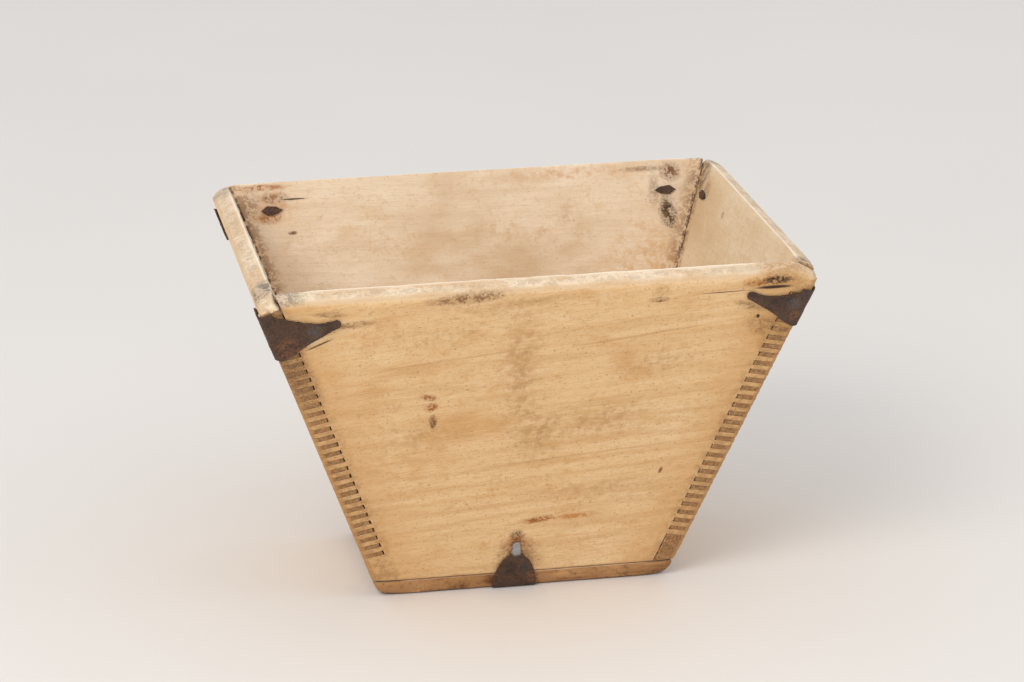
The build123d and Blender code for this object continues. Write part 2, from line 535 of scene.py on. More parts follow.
# marks on the faces: (x, y) from the middle of the rim's outer edge, half sizes in millimetres, turn,
# strength, colour, and True where the mark is a crust of specks
OUTER_MARKS = {
    "front": (
        ((-10, -54), (12, 50), 0, 0.62, TAN, False),
        ((2, -104), (16, 26), 8, 0.62, TAN, False),
        ((40, -98), (34, 14), 0, 0.55, TAN, False),
        ((-70, -100), (30, 12), 4, 0.40, TAN, False),
        ((52, -148), (40, 10), 0, 0.45, TAN, False),
        ((-92, -120), (30, 16), 10, 0.40, AMBER, False),
        ((70, -60), (26, 9), 4, 0.45, TAN, False),
        ((-60, -30), (30, 8), 4, 0.40, TAN, False),
        ((-28, -60), (60, 70), 0, 0.16, AMBER, False),
        ((-60, -80), (4.2, 3.4), 20, 1.00, RUST_RED, True),
        ((-59, -91), (2.4, 6.0), 5, 1.00, BROWN, True),
        ((-62, -73), (6.0, 2.4), -15, 0.90, RUST_RED, True),
        ((6, -169), (11, 2.8), 8, 1.00, RUST_RED, True),
        ((28, -168), (15, 2.6), 3, 0.80, RUST_ORANGE, True),
        ((62, -176), (6, 2.4), 3, 0.45, RUST_ORANGE, True),
        ((-42, -5), (26, 3.4), 3, 0.80, BROWN, True),
        ((-30, -12), (42, 6), -2, 0.40, TAN, False),
        ((4, -9), (18, 3), 4, 0.35, TAN, True),
        ((68, -14), (5.5, 2.0), 0, 0.90, BROWN, True),
        ((69, -8), (5.0, 4.5), 0, 0.55, TAN, True),
        ((105, -11.6), (15, 0.35), 1, 0.95, UMBER, False),
        ((62, -38), (46, 0.9), 7, 0.40, TAN, False),
        ((-40, -46), (52, 0.8), 6, 0.30, TAN, False),
        ((30, -122), (60, 0.8), 5, 0.30, TAN, False),
        ((77, -138), (1.2, 2.6), -20, 0.85, BROWN, False),
        ((97, -100), (20, 16), 20, 0.42, AMBER, False),
        ((112, -66), (22, 12), 20, 0.40, GOLD, False),
        ((140, -4), (14, 4), 0, 0.50, TAN, True),
        ((132, -8), (20, 7), 0, 0.62, GOLD, False),
        ((131, -7), (18, 6.5), 0, 0.75, (0.50, 0.24, 0.07), True),
        ((135, -5.4), (11, 3.2), 0, 1.00, UMBER, True),
        ((123, -7), (7, 1.8), 0, 1.00, RUST_RED, True),
        ((134, -10.2), (11, 1.3), 0, 1.00, UMBER, False),
        ((-6, -181), (4.5, 5.0), 0, 0.95, UMBER, True),
        ((-6, -186), (9, 8), 0, 0.70, RUST_RED, True),
        ((-5, -196), (15, 14), 0, 0.60, BROWN, True),
        ((128, -34), (24, 14), -25, 0.55, GOLD, False),
        ((132, -38), (16, 8), -30, 0.55, BROWN, True),
        ((126, -30), (1.2, 1.6), 0, 1.00, UMBER, False),
        ((120, -22), (10, 3), -20, 0.60, BROWN, True),
        ((-119, -10), (9, 2.2), -5, 0.75, BROWN, True),
        ((-138, -5), (12, 3), 0, 0.65, AMBER, False),
        ((-106, -18), (14, 2.6), 3, 0.65, BROWN, True),
        ((-96, -26), (34, 7), 6, 0.40, GOLD, False),
        # a chip below the front-left iron: pale torn wood, and under it a dark line that is a painted
        # shadow of the chip's lower edge
        ((-126, -27.5), (8, 1.4), 25, 0.80, PALE, False),
        ((-125, -30.2), (8.5, 0.7), 25, 0.90, UMBER, False),
        ((-134, -56), (9, 24), 19, 0.70, BROWN, True),
        ((-128, -50), (18, 30), 19, 0.45, GOLD, False),
        ((-118, -92), (14, 30), 19, 0.32, AMBER, False),
        ((-66, -140), (20, 5), 4, 0.28, AMBER, False),
        ((-20, -150), (60, 4), 4, 0.22, AMBER, False),
    ),
    "right": (
        ((-20, -70), (12, 50), 0, 0.40, TAN, False),
        ((60, -40), (30, 12), 5, 0.35, AMBER, False),
        ((-95, -36), (20, 10), 20, 0.6, BROWN, True),
        ((92, -40), (16, 8), -20, 0.5, BROWN, True),
        ((30, -150), (9, 2), 3, 0.7, RUST_RED, True),
        ((-30, -8), (30, 4), 2, 0.5, TAN, True),
    ),
    "back": (
        ((30, -60), (12, 50), 6, 0.40, TAN, False),
        ((-50, -110), (30, 8), 3, 0.30, AMBER, False),
        ((-124, -40), (18, 9), 20, 0.6, BROWN, True),
        ((124, -40), (18, 9), -20, 0.6, BROWN, True),
        ((6, -172), (12, 6), 0, 0.6, RUST_RED, True),
        ((60, -10), (26, 4), 0, 0.5, TAN, True),
    ),
    "left": (
        ((10, -80), (12, 60), -4, 0.38, TAN, False),
        ((92, -40), (16, 9), -20, 0.6, BROWN, True),
        ((-92, -38), (16, 8), 20, 0.5, BROWN, True),
        ((-30, -140), (26, 6), 2, 0.3, AMBER, False),
    ),
}
INNER_MARKS = {
    "front": (
        ((0, -60), (60, 30), 0, 0.25, AMBER, False),
        ((-116, -18), (10, 5), 0, 0.7, BROWN, True),
        ((118, -16), (10, 5), 0, 0.7, BROWN, True),
    ),
    "right": (
        ((92, -16), (7, 6), 0, 0.75, BROWN, True),
        ((43, -19), (3.4, 2.4), 10, 0.75, BROWN, True),
        ((20, -70), (30, 10), 8, 0.35, AMBER, False),
        # a broad darker patch over most of the right inner face: painted shade
        ((20, -40), (110, 44), 0, 0.60, (0.62, 0.44, 0.25), False),
        ((-110, -14), (6, 10), 20, 0.90, BROWN, True),
        ((110, -12), (11, 18), 20, 1.00, (0.11, 0.085, 0.065), True),
        ((-60, -40), (50, 14), 4, 0.30, AMBER, False),
        ((70, -34), (16, 0.7), 40, 0.35, CREAM, False),
    ),
    "back": (
        ((122.5, -11), (10, 4.0), 0, 0.90, (0.20, 0.10, 0.055), True),
        ((123.5, -17), (16, 11), 0, 0.60, RUST_ORANGE, False),
        ((126, -23), (9, 4), 0, 0.90, RUST_RED, True),
        ((112, -33), (3, 1.5), 0, 0.95, BROWN, True),
        ((110, -12), (8, 0.6), 0, 0.95, UMBER, False),
        ((128, -4), (16, 2.4), 0, 0.90, RUST_RED, True),
        ((137, -14), (7, 9), 0, 0.55, BROWN, True),
        ((-127, -9), (7, 6), 0, 0.95, BROWN, True),
        ((-124, -34), (6, 12), -11, 1.00, UMBER, True),
        ((-116, -20), (4, 12), 0, 0.45, BROWN, True),
        ((-110, -6), (16, 2), 0, 0.60, BROWN, True),
        ((-60, -6), (56, 5), 0, 0.40, RUST_ORANGE, False),
        ((-62, -32), (9, 14), 0, 0.50, (0.50, 0.30, 0.14), False),
        ((-30, -40), (50, 9), 2, 0.40, (0.55, 0.34, 0.17), False),
        ((50, -46), (44, 10), 0, 0.35, (0.55, 0.34, 0.17), False),
        ((10, -80), (80, 8), 2, 0.35, AMBER, False),
        ((-100, -70), (30, 30), 0, 0.45, GOLD, False),
        ((-118, -60), (14, 34), -10, 0.50, GOLD, False),
    ),
    "left": (
        ((92, -16), (8, 5), 0, 0.7, BROWN, True),
        ((-96, -18), (8, 5), 0, 0.7, BROWN, True),
    ),
}
RIM_MARKS = {
    "front": (
        ((-146, 0), (13, 9), 0, 0.80, (0.24, 0.19, 0.14), True),
        ((138, 0), (16, 9), 0, 0.60, TAN, True),
    ),
    "right": (
        ((-118, 0), (9, 9), 0, 0.70, BROWN, True),
        ((112, 0), (10, 9), 0, 0.75, GREY_DIRT, True),
    ),
    "back": (
        ((-146, 0), (8, 9), 0, 0.75, UMBER, True),
        ((140, 0), (20, 9), 0, 0.40, GOLD, False),
    ),
    "left": (
        ((106, 0), (15, 9), 0, 0.90, (0.17, 0.135, 0.10), True),
        ((-112, 0), (14, 9), 0, 0.70, GREY_DIRT, True),
    ),
}
# how much dirt and painted shade lie in the inner corners at the left and right end of a board, seen from
# outside
CORNER_DIRT_AND_SHADE = {"front": (0.6, 0.6), "right": (0.5, 0.8), "back": (0.60, 0.65), "left": (0.7, 0.6)}
# where the middle of the growth rings lies behind each outer face, in metres, and the slant of the grain
RINGS = {
    "front": ((0.055, -0.018, -0.012), 5),
    "right": ((-0.090, -0.120, -0.020), -3),
    "back": ((-0.060, -0.070, -0.016), 2),
    "left": ((0.120, -0.095, -0.020), -4),
}
RING_PITCH = 0.0125
# how far each board's own pattern is moved, so that no two boards match
SHIFT = {"front": 0.31, "right": 1.73, "back": 2.91, "left": 4.37}
THIN_MARK = 1.5  # millimetres; a thinner mark is a clean line


def wood_grain(make, where, middle, slant, shift):
    """Growth rings, long streaks and fine fibres that run along x: (rings, streaks, fibres)."""
    grain = make.place(where, location=middle, turn=(0, 0, math.radians(slant)))
    moved = make.place(grain, location=(shift, shift * 0.7, 0))
    wander = make.noise(moved, (0.16, 0.022, 0.022), 3.0, 0.55)
    squeezed = make.place(grain, size=(8.0, 1.0, 1.6))
    away = make.scaled(wander, 0.026, make.length(squeezed))
    turns = make.math("MULTIPLY", away, 2 * math.pi / RING_PITCH)
    rings = make.scaled(make.math("SINE", turns), 0.5, 0.5)
    rings = make.math("POWER", rings, 3.0)
    strength = make.step(make.noise(moved, (0.10, 0.04, 0.04), 2.0), 0.38, 0.62)
    rings = make.times(rings, strength)
    streaks = make.noise(moved, (0.060, 0.0036, 0.0036), 4.0, 0.6)
    fibres = make.noise(moved, (0.0065, 0.00075, 0.00075), 3.0, 0.65)
    return rings, streaks, fibres


class BoardFinish(Finish):
    """Old softwood, honey outside and paler inside, with each board's own marks."""

    def __init__(self, side):
        super().__init__(f"worn_wood_{side}")
        self.side = side
        turn = Matrix((along(side), up_board(side), facing(side))).transposed().to_euler()
        self.local = self.place(self.where, rim_origin(side), turn)
        self.x, self.y, self.z = self.apart(self.local)
        shift = SHIFT[side]
        middle, slant = RINGS[side]
        self.rings, self.streaks, self.fibres = wood_grain(self, self.local, middle, slant, shift)

        moved = self.place(self.local, location=(shift * 1.3, 0.2, 0.1))
        self.broad = self.noise(moved, (0.085, 0.045, 0.045), 3.0, 0.55)
        self.patch = self.noise(moved, (0.030, 0.017, 0.017), 4.0, 0.62)
        self.rag = self.noise(moved, 0.0046, 4.0, 0.65)
        self.speck = self.noise(moved, 0.0015, 3.0, 0.65)
        self.crust = self.step(self.scaled(self.speck, 0.35, self.times(self.rag, 0.65)), 0.45, 0.53)
        self.drift = self.scaled(self.patch, 0.5, self.times(self.streaks, 0.5))
        self.speckle = self.scaled(self.drift, 0.4, self.times(self.rag, 0.6))

        self.inner_part = self.step(self.lean_on(-facing(side)), 0.25, 0.75)
        self.outer_part = self.rest_of(self.inner_part)
        self.right_end = self.step(self.x, -0.001, 0.001)
        self.to_end = self.short_of(half_along(side) + box().board * rise())

    def short_of(self, reach):
        """Distance along the board to where it ends, at the height of each place."""
        return self.math("SUBTRACT", self.scaled(self.y, run(), reach), self.size_of(self.x))

    def marked(self, shade, marks, within=1.0):
        broken = self.scaled(self.step(self.speckle, 0.42, 0.58), 0.85, 0.15)
        body = self.scaled(self.crust, 0.65, 0.35)
        for centre, half, angle, strength, stain, crusty in marks:
            if crusty:
                mark = self.times(self.spot(self.local, centre, half, angle, self.rag, 1.1, 0.5), body)
            elif min(half) < THIN_MARK:
                mark = self.spot(self.local, centre, half, angle, self.rag, 0.25, 0.5)
            else:
                mark = self.spot(self.local, centre, half, angle, self.drift, 1.2, 0.95)
                mark = self.times(mark, broken)
            shade = self.mix(self.times(mark, strength, within), shade, stain)
        return shade

    def outside(self):
        shade = self.ramp(self.broad, ((0.30, GOLD), (0.42, HONEY), (0.54, LIGHT_HONEY), (0.68, PALE)))
        shade = self.tint(shade, GOLD, 0.50, self.streaks, 0.50, 0.72)
        shade = self.tint(shade, PALE, 0.35, self.streaks, 0.50, 0.30)
        shade = self.mix(self.times(self.rings, 0.42), shade, AMBER)
        shade = self.tint(shade, GOLD, 0.45, self.patch, 0.52, 0.70)
        shade = self.tint(shade, AMBER, 0.62, self.fibres, 0.52, 0.70)
        flecks = self.times(self.step(self.rag, 0.53, 0.68), self.step(self.patch, 0.40, 0.60), 0.55)
        shade = self.mix(flecks, shade, AMBER)
        shade = self.tint(shade, TAN, 0.30, self.speck, 0.54, 0.68)
        return self.tint(shade, CREAM, 0.30, self.fibres, 0.46, 0.28)

    def inside(self):
        shade = self.ramp(self.broad, ((0.34, INSIDE_DARK), (0.48, INSIDE_MID), (0.62, INSIDE)))
        shade = self.tint(shade, INSIDE_DARK, 0.40, self.streaks, 0.50, 0.74)
        shade = self.mix(self.times(self.rings, 0.25), shade, INSIDE_DARK)
        shade = self.tint(shade, INSIDE_PATCH, 0.35, self.patch, 0.54, 0.72)
        shade = self.tint(shade, GOLD, 0.42, self.fibres, 0.52, 0.72)
        shade = self.tint(shade, INSIDE_FLECK, 0.35, self.rag, 0.54, 0.68)
        # the right board's inner face is darkened all over with painted shade
        if self.side == "right":
            shade = self.mix(0.35, shade, INSIDE_PAINTED_SHADE)
        return self.marked(shade, INNER_MARKS[self.side])

    def corner_dirt_and_shade(self, shade):
        """Dirt in the inner corners, in a band that narrows downwards, with a dark line in the corner that
        is dirt and painted shade.
        """
        to_inner = self.short_of(half_along(self.side))
        left_dirt, right_dirt = CORNER_DIRT_AND_SHADE[self.side]
        amount = self.scaled(self.right_end, right_dirt - left_dirt, left_dirt)
        width = self.scaled(self.y, 0.035, 0.0135)
        grime = self.rest_of(self.step(self.math("DIVIDE", to_inner, width), 0.15, 1.0))
        shade = self.mix(self.times(grime, amount, 0.45), shade, GOLD)
        shade = self.mix(self.times(grime, self.crust, amount), shade, CORNER_GRIME)
        # the dark line right in the corner: dirt, and painted shade in the crease
        line = self.times(self.step(to_inner, 0.0020, 0.0008), self.step(self.rag, 0.40, 0.52), amount)
        return self.mix(line, shade, UMBER)

    def combs(self, shade):
        """Darker wood beside the combs, brown end grain, and a plain strip down the corner."""
        outer, to_end = self.outer_part, self.to_end
        shade = self.mix(self.times(self.step(to_end, 0.050, 0.006), outer, 0.62), shade, BESIDE_COMB)
        beside = self.times(self.step(to_end, 0.030, 0.012), self.step(self.speckle, 0.42, 0.60), outer)
        shade = self.mix(self.times(beside, 0.22), shade, TAN)
        end_grain = self.step(self.size_of(self.lean_on(along(self.side))), 0.70, 0.88)
        own_face = self.times(self.rest_of(end_grain), outer)
        zone = self.times(self.step(to_end, 0.0200, 0.0130), own_face)
        shade = self.mix(self.times(zone, self.scaled(self.crust, 0.22, 0.06)), shade, BROWN)
        brown = self.mix(self.step(self.speck, 0.42, 0.58), END_GRAIN, END_GRAIN_DARK)
        brown = self.tint(brown, HONEY, 0.2, self.rag, 0.52, 0.70)
        shade = self.mix(self.times(end_grain, self.step(to_end, 0.020, 0.016)), shade, brown)
        face_strip = self.times(self.step(to_end, 0.0036, 0.0022), own_face)
        end_strip = self.times(self.step(self.z, -0.0036, -0.0022), end_grain)
        strip = self.times(self.math("MAXIMUM", face_strip, end_strip), self.scaled(self.rag, 0.5, 0.45))
        shade = self.mix(strip, shade, CORNER_STRIP)

        # dirt rubbed over the upper part of the combs at the front left and the back right
        smudge = self.times(self.step(self.y, -0.085, -0.045), self.step(self.y, -0.020, -0.034))
        end = self.rest_of(self.right_end) if self.side in ("front", "back") else self.right_end
        smudge = self.times(smudge, end, self.step(to_end, 0.0180, 0.0120), outer)
        return self.mix(self.times(smudge, self.scaled(self.crust, 0.45, 0.25)), shade, COMB_SMUDGE)

    def rim(self, shade):
        """A cream inner arris, a grey band rubbed full of dirt, and a warmer rounded outer edge."""
        on_rim = self.step(self.lean_on(up_board(self.side)), 0.28, 0.75)
        rim = self.mix(self.step(self.patch, 0.38, 0.60), RIM_WORN, CREAM)
        band = self.times(self.step(self.z, -0.0105, -0.0085), self.step(self.z, -0.0020, -0.0045))
        rim = self.mix(self.times(band, self.crust, 0.32), rim, GREY_DIRT)
        rim = self.tint(rim, TAN, 0.35, self.fibres, 0.52, 0.70)
        rim = self.tint(rim, RIM_OUTER, 0.6, self.z, -0.0042, -0.0018)
        rim = self.tint(rim, RIM_INNER, 0.8, self.z, -0.0100, -0.0116)
        rim = self.marked(rim, RIM_MARKS[self.side])
        shade = self.mix(on_rim, shade, rim)
        arris = self.times(self.step(self.y, -0.0052, -0.0018), self.rest_of(on_rim), self.outer_part)
        arris = self.times(arris, self.scaled(self.crust, -0.5, 0.8))
        return self.mix(arris, shade, ARRIS)

    def shade_comb_cheeks(self, shade):
        """The cheeks and pits of the comb, between the fingers, are darkened with painted shade."""
        cheek = self.step(self.size_of(self.lean_on(UP)), 0.72, 0.85)
        below_rim = self.step(self.y, -0.006, -0.010)
        in_comb = self.step(self.to_end, 0.018, 0.0155)
        # painted shade on the cheeks between the fingers, below the rim
        return self.mix(self.times(cheek, below_rim, in_comb, 0.6), shade, UMBER)

    def finished(self):
        shade = self.mix(self.inner_part, self.outside(), self.corner_dirt_and_shade(self.inside()))
        shade = self.rim(self.combs(shade))
        shade = self.shade_comb_cheeks(self.marked(shade, OUTER_MARKS[self.side], self.outer_part))
        shade = self.tint(shade, BROWN, 0.50, self.speck, 0.62, 0.74)
        rough = self.scaled(self.streaks, 0.2, 0.52)
        normal = self.bump(self.fibres, 0.0004, 0.45)
        normal = self.bump(self.streaks, 0.0008, 0.35, normal)
        normal = self.bump(self.rag, 0.0010, 0.35, normal)
        return self.done(shade, rough, normal, specular=0.25)


def bottom_finish():
    """Darker, dirtier wood, with the grain along the longer side and dirt in the seam."""
    make = Finish("worn_wood_bottom")
    rings, streaks, fibres = wood_grain(make, make.where, (0.02, -0.04, -0.03), 0, 6.1)
    patch = make.noise(make.where, 0.024, 4.0, 0.6)
    rag = make.noise(make.where, 0.0042, 4.0, 0.65)
    shade = make.ramp(patch, ((0.32, BROWN), (0.45, TAN), (0.58, UNDERSIDE), (0.72, AMBER)))
    shade = make.tint(shade, BROWN, 0.5, streaks, 0.50, 0.70)
    shade = make.mix(make.times(rings, 0.4), shade, BROWN)
    shade = make.tint(shade, UMBER, 0.45, rag, 0.52, 0.68)
    seam = make.step(make.apart(make.where)[2], box().bottom - 0.0011, box().bottom - 0.0002)
    shade = make.mix(make.times(seam, 0.85), shade, UMBER)
    inside = make.mix(make.step(patch, 0.40, 0.62), BOTTOM_INSIDE, INSIDE_DARK)
    shade = make.mix(make.step(make.lean_on(UP), 0.6, 0.9), shade, inside)
    rough = make.scaled(streaks, 0.2, 0.6)
    normal = make.bump(fibres, 0.0003, 0.4)
    normal = make.bump(rag, 0.0012, 0.45, normal)
    return make.done(shade, rough, normal, specular=0.22)


RUST_DARK = (0.032, 0.018, 0.012)
RUST_MID = (0.062, 0.031, 0.018)
RUST_BROWN = (0.085, 0.040, 0.020)
IRON_GREY = (0.052, 0.044, 0.040)
RUST_FLECK = (0.15, 0.060, 0.024)
RUST_PIT = (0.022, 0.016, 0.014)
RUST_BLOOM = (0.28, 0.10, 0.032)
RUST_DUST = (0.18, 0.095, 0.05)
PAINTED_SHEEN = (0.17, 0.17, 0.175)
BARE_IRON = (0.42, 0.42, 0.43)


def iron_finish(name, bare=(), sheen_spots=(), rust=()):
    """Old forged iron, brown with rust, with bare and rusty patches and spots of painted sheen: (place,
    radius) in mm.
    """
    make = Finish(name)
    patch = make.noise(make.where, 0.0095, 4.0, 0.6)
    fine = make.noise(make.where, 0.0017, 5.0, 0.72)
    grit = make.noise(make.where, 0.0006, 2.0, 0.6)
    pits = make.pits(make.where, 0.0024)
    shade = make.ramp(patch, ((0.30, RUST_DARK), (0.44, RUST_MID), (0.54, RUST_BROWN), (0.68, IRON_GREY)))
    shade = make.tint(shade, RUST_FLECK, 0.65, fine, 0.52, 0.66)
    shade = make.tint(shade, RUST_PIT, 0.75, fine, 0.47, 0.34)
    clean = make.times(make.step(patch, 0.58, 0.72), 0.7)
    for centre, radius in rust:
        mark = make.times(make.ball(centre, radius, fine), make.step(fine, 0.40, 0.60), 0.50)
        shade = make.mix(mark, shade, RUST_BLOOM)
    # spots of painted sheen: a flecked pale grey that stands in for light glancing off the iron
    for centre, radius in sheen_spots:
        mark = make.times(make.ball(centre, radius, fine), make.step(fine, 0.62, 0.42))
        shade = make.mix(make.times(mark, 0.35), shade, PAINTED_SHEEN)
        clean = make.math("MAXIMUM", clean, make.times(mark, 0.4))
    for centre, radius in bare:
        mark = make.times(make.ball(centre, radius, fine), 0.85)
        shade = make.mix(mark, shade, BARE_IRON)
        clean = make.math("MAXIMUM", clean, mark)
    shade = make.tint(shade, RUST_DUST, 0.5, grit, 0.60, 0.72)
    metal = make.scaled(clean, 0.45, 0.10)
    rough = make.scaled(clean, -0.24, 0.62)
    normal = make.bump(fine, 0.0012, 0.7)
    normal = make.bump(make.step(pits, 0.10, 0.35), 0.0004, 0.5, normal)
    return make.done(shade, rough, normal, metal=metal, specular=0.4)


# ---------------------------------------------------------------- side boards


FOOT_RADIUS = 0.014
FOOT_ANGLES = (40, 52, 64, 76)
# how far from an edge each kind of wear reaches
RIM_REACH = 0.006
OUTER_RIM_REACH = 0.007
RIDGE_REACH = 0.0085
HIP_REACH = 0.009
RIM_CORNER_REACH = 0.019
RIM_CORNER_DEPTH = 0.008
FOOT_REACH = 0.0065
FOOT_CORNER_REACH = 0.018
SAW_WANDER = 0.00022


def worn_feet():
    """Cuts that round off the lower end of each corner, the same for every board that meets there."""
    cuts = []
    for corner in CORNERS:
        sx, sy = corner_signs(corner)
        level = Vector((sx, sy, 0)).normalized()
        foot = corner_point(corner, 0)
        upward = (corner_point(corner, 0.1) - foot).normalized()
        line_facing = (level - upward * level.dot(upward)).normalized()
        middle = foot - (line_facing - UP) * (FOOT_RADIUS / (1 - line_facing.dot(UP)))
        for angle in FOOT_ANGLES:
            turned = level * math.cos(math.radians(angle)) - UP * math.sin(math.radians(angle))
            cuts.append((middle + turned * FOOT_RADIUS, turned))
    return cuts


def board_blank(side):
    """One board out to its neighbours' outer faces, with a square-cut, mitred rim."""
    blank = block(f"board_{side}", (0, 0, box().height / 2), 0.5)
    cuts = [
        (rim_origin(side), facing(side)),
        (inner_edge(side), -facing(side)),
        ((0, 0, box().bottom), -UP),
        (inner_edge(side), up_board(side)),
    ]
    for other in NEXT_TO[side]:
        cuts += [(rim_origin(other), facing(other)), (inner_edge(other), up_board(other))]
    return trim(blank, cuts + worn_feet())


def comb_tool(side, corner):
    """What a board gives up to the other at a corner: the waste between its fingers, and the wide one."""
    lower, upper = CORNERS[corner]
    other = upper if side == lower else lower
    sx, sy = corner_signs(corner)
    cheek = Vector((sx * box().cheek_slope, sy * box().cheek_slope, 1)).normalized()
    gap, finger, start = wear().comb_gap, box().finger, box().comb_start
    outwards = (facing(side) - facing(other) * facing(side).dot(facing(other))).normalized()
    overrun = wear().comb_pit / box().board
    root = (inner_point(other, side), -facing(other) - outwards * overrun)

    def waste(name, low, high, size=0.06):
        middle = corner_point(corner, (max(low, -0.02) + min(high, 0.23)) / 2)
        top_cut = (corner_point(corner, high + gap), cheek)
        return trim(block(name, middle, size), [(corner_point(corner, low - gap), -cheek), top_cut, root])

    first = start + (0 if side == lower else finger)
    narrow = waste("comb_waste", first, first + finger)
    step = corner_point(corner, 0.1 + 2 * finger) - corner_point(corner, 0.1)
    apply(
        narrow,
        "ARRAY",
        count=box().comb_pairs,
        use_relative_offset=False,
        use_constant_offset=True,
        constant_offset_displace=step,
    )
    take(narrow)
    bpy.ops.object.mode_set(mode="EDIT")
    bpy.ops.mesh.select_all(action="SELECT")
    seed = len(corner) + len(side)
    bpy.ops.transform.vertex_random(offset=SAW_WANDER, uniform=0.0, normal=0.0, seed=seed)
    bpy.ops.object.mode_set(mode="OBJECT")
    comb_end = start + 2 * finger * box().comb_pairs
    if side == lower:
        wide = waste("wide_waste", comb_end, 0.26, 0.16)
    else:
        wide = waste("wide_waste", -0.04, start, 0.16)
    return join([narrow, wide], "comb_tool")


def wear_board(piece, side):
    """Rounds the rim and the corners, then dents the surfaces."""
    origin, face, up = rim_origin(side), facing(side), up_board(side)
    neighbours = [(rim_origin(other), facing(other), up_board(other)) for other in NEXT_TO[side]]

    def down(point):
        """Nearness to the plane of the rim, on this board or a neighbour."""
        rims = [(point - origin).dot(up)] + [(point - o).dot(u) for o, f, u in neighbours]
        return max(close_to(below, RIM_REACH) for below in rims)

    def outer_rim(point):
        own = math.hypot((point - origin).dot(up), (point - origin).dot(face))
        others = [math.hypot((point - o).dot(u), (point - o).dot(f)) for o, f, u in neighbours]
        return 1.6 * max(close_to(away, OUTER_RIM_REACH) for away in [own] + others)

    def ridge(point):
        depth = -(point - origin).dot(face)
        away = min(math.hypot(depth, (point - o).dot(f)) for o, f, u in neighbours)
        return 1.6 * close_to(away, RIDGE_REACH)

    def hip(point):
        own = (point - origin).dot(up)
        away = min(math.hypot(own, (point - o).dot(u)) for o, f, u in neighbours)
        return 1.5 * close_to(away, HIP_REACH)

    def rim_corner(point):
        near = 0.0
        for o, f, u in neighbours:
            if min((point - origin).dot(up), (point - o).dot(u)) > -RIM_CORNER_DEPTH:
                away = math.hypot((point - origin).dot(face), (point - o).dot(f))
                near = max(near, close_to(away, RIM_CORNER_REACH))
        return 1.8 * near

    # place: its rule, and how often it is rubbed smooth on the coarser grid
    rubbed = {
        "rim": (down, 5),
        "ridge": (ridge, 4),
        "outer_rim": (outer_rim, 4 if side == "back" else 14),
        "hip": (hip, 8),
        "rim_corner": (rim_corner, 60),
    }
    finer = 3
    for place, (rule, passes) in rubbed.items():
        weigh(piece, place, rule)
    for place, (rule, passes) in rubbed.items():
        apply(piece, "SMOOTH", factor=0.5, iterations=passes * finer, vertex_group=place)
    dent(piece, wear().rim_waves, 0.045, "rim")
    dent(piece, wear().rim_nicks, 0.009, "rim")
    dent(piece, wear().face_dents, 0.030)
    dent(piece, wear().face_dents * 0.5, 0.0065)


class SCOOP_OT_side_boards(bpy.types.Operator):
    """Build the four leaning side boards with their finger combs"""

    bl_idname = "scoop.side_boards"
    bl_label = "Side boards"

    def execute(self, context):
        for side in OUT:
            piece = grid_over(board_blank(side), wear().grid * (1.0))
            wear_board(piece, side)
            tools = [comb_tool(side, corner) for corner, pair in CORNERS.items() if side in pair]
            cut(piece, join(tools, "comb_tools"))
            finish_piece(piece, BoardFinish(side).finished(), [f"{side}_board"], 42.0)
        return {"FINISHED"}


# ---------------------------------------------------------------- bottom board


class SCOOP_OT_bottom_board(bpy.types.Operator):
    """Build the bottom board with its worn lower edge"""

    bl_idname = "scoop.bottom_board"
    bl_label = "Bottom board"

    def execute(self, context):
        piece = block("board_bottom", (0, 0, 0.1), 0.5)
        cuts = [((0, 0, box().bottom), UP), ((0, 0, 0), -UP)]
        cuts += [(rim_origin(side), facing(side)) for side in OUT]
        trim(piece, cuts + worn_feet())
        grid_over(piece, wear().grid * (0.8))
        corner_x, corner_y = (abs(v) for v in corner_point("front_right", 0)[:2])

        def foot(point):
            edge = min(corner_x - abs(point.x), corner_y - abs(point.y)) + 0.001
            return 1.4 * close_to(math.hypot(point.z, edge), FOOT_REACH)

        def foot_corner(point):
            away = math.hypot(corner_x - abs(point.x), corner_y - abs(point.y))
            return 1.5 * close_to(away, FOOT_CORNER_REACH)

        weigh(piece, "foot", foot)
        weigh(piece, "foot_corner", foot_corner)
        apply(piece, "SMOOTH", factor=0.5, iterations=14, vertex_group="foot")
        apply(piece, "SMOOTH", factor=0.5, iterations=24, vertex_group="foot_corner")
        dent(piece, wear().foot_dents, 0.012, "foot")
        dent(piece, wear().face_dents, 0.030)
        dent(piece, wear().fine_dents, 0.005)
        finish_piece(piece, bottom_finish(), ["bottom_board"], 50.0)
        return {"FINISHED"}


# ---------------------------------------------------------------- irons


def forged(node, material):
    """A rusted piece with hammer marks over the plain shape of one CAD iron."""
    piece = copy_of(frame["nodes"][node], f"forged_{node}")
    piece.parent = None
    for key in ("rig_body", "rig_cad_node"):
        if key in piece:
            del piece[key]
    take(piece)
    bpy.ops.object.mode_set(mode="EDIT")
    bpy.ops.mesh.select_all(action="SELECT")
    bpy.ops.mesh.remove_doubles(threshold=0.000002)
    bpy.ops.mesh.normals_make_consistent(inside=False)
    bpy.ops.object.mode_set(mode="OBJECT")
    size = wear().iron_grid * 1.0
    apply(piece, "REMESH", mode="VOXEL", voxel_size=size, adaptivity=0.0)
    apply(piece, "SMOOTH", factor=0.5, iterations=3)
    dent(piece, wear().iron_dents, 0.0075)
    dent(piece, wear().iron_dents * 0.6, 0.0022)
    return finish_piece(piece, material, [node], 60.0)


def on_board(side, x, y, z=1.5):
    """A place on an outer face, in millimetres, from the middle of the rim's outer edge."""
    point = rim_origin(side) / MM + along(side) * x + up_board(side) * y + facing(side) * z
    return tuple(point)


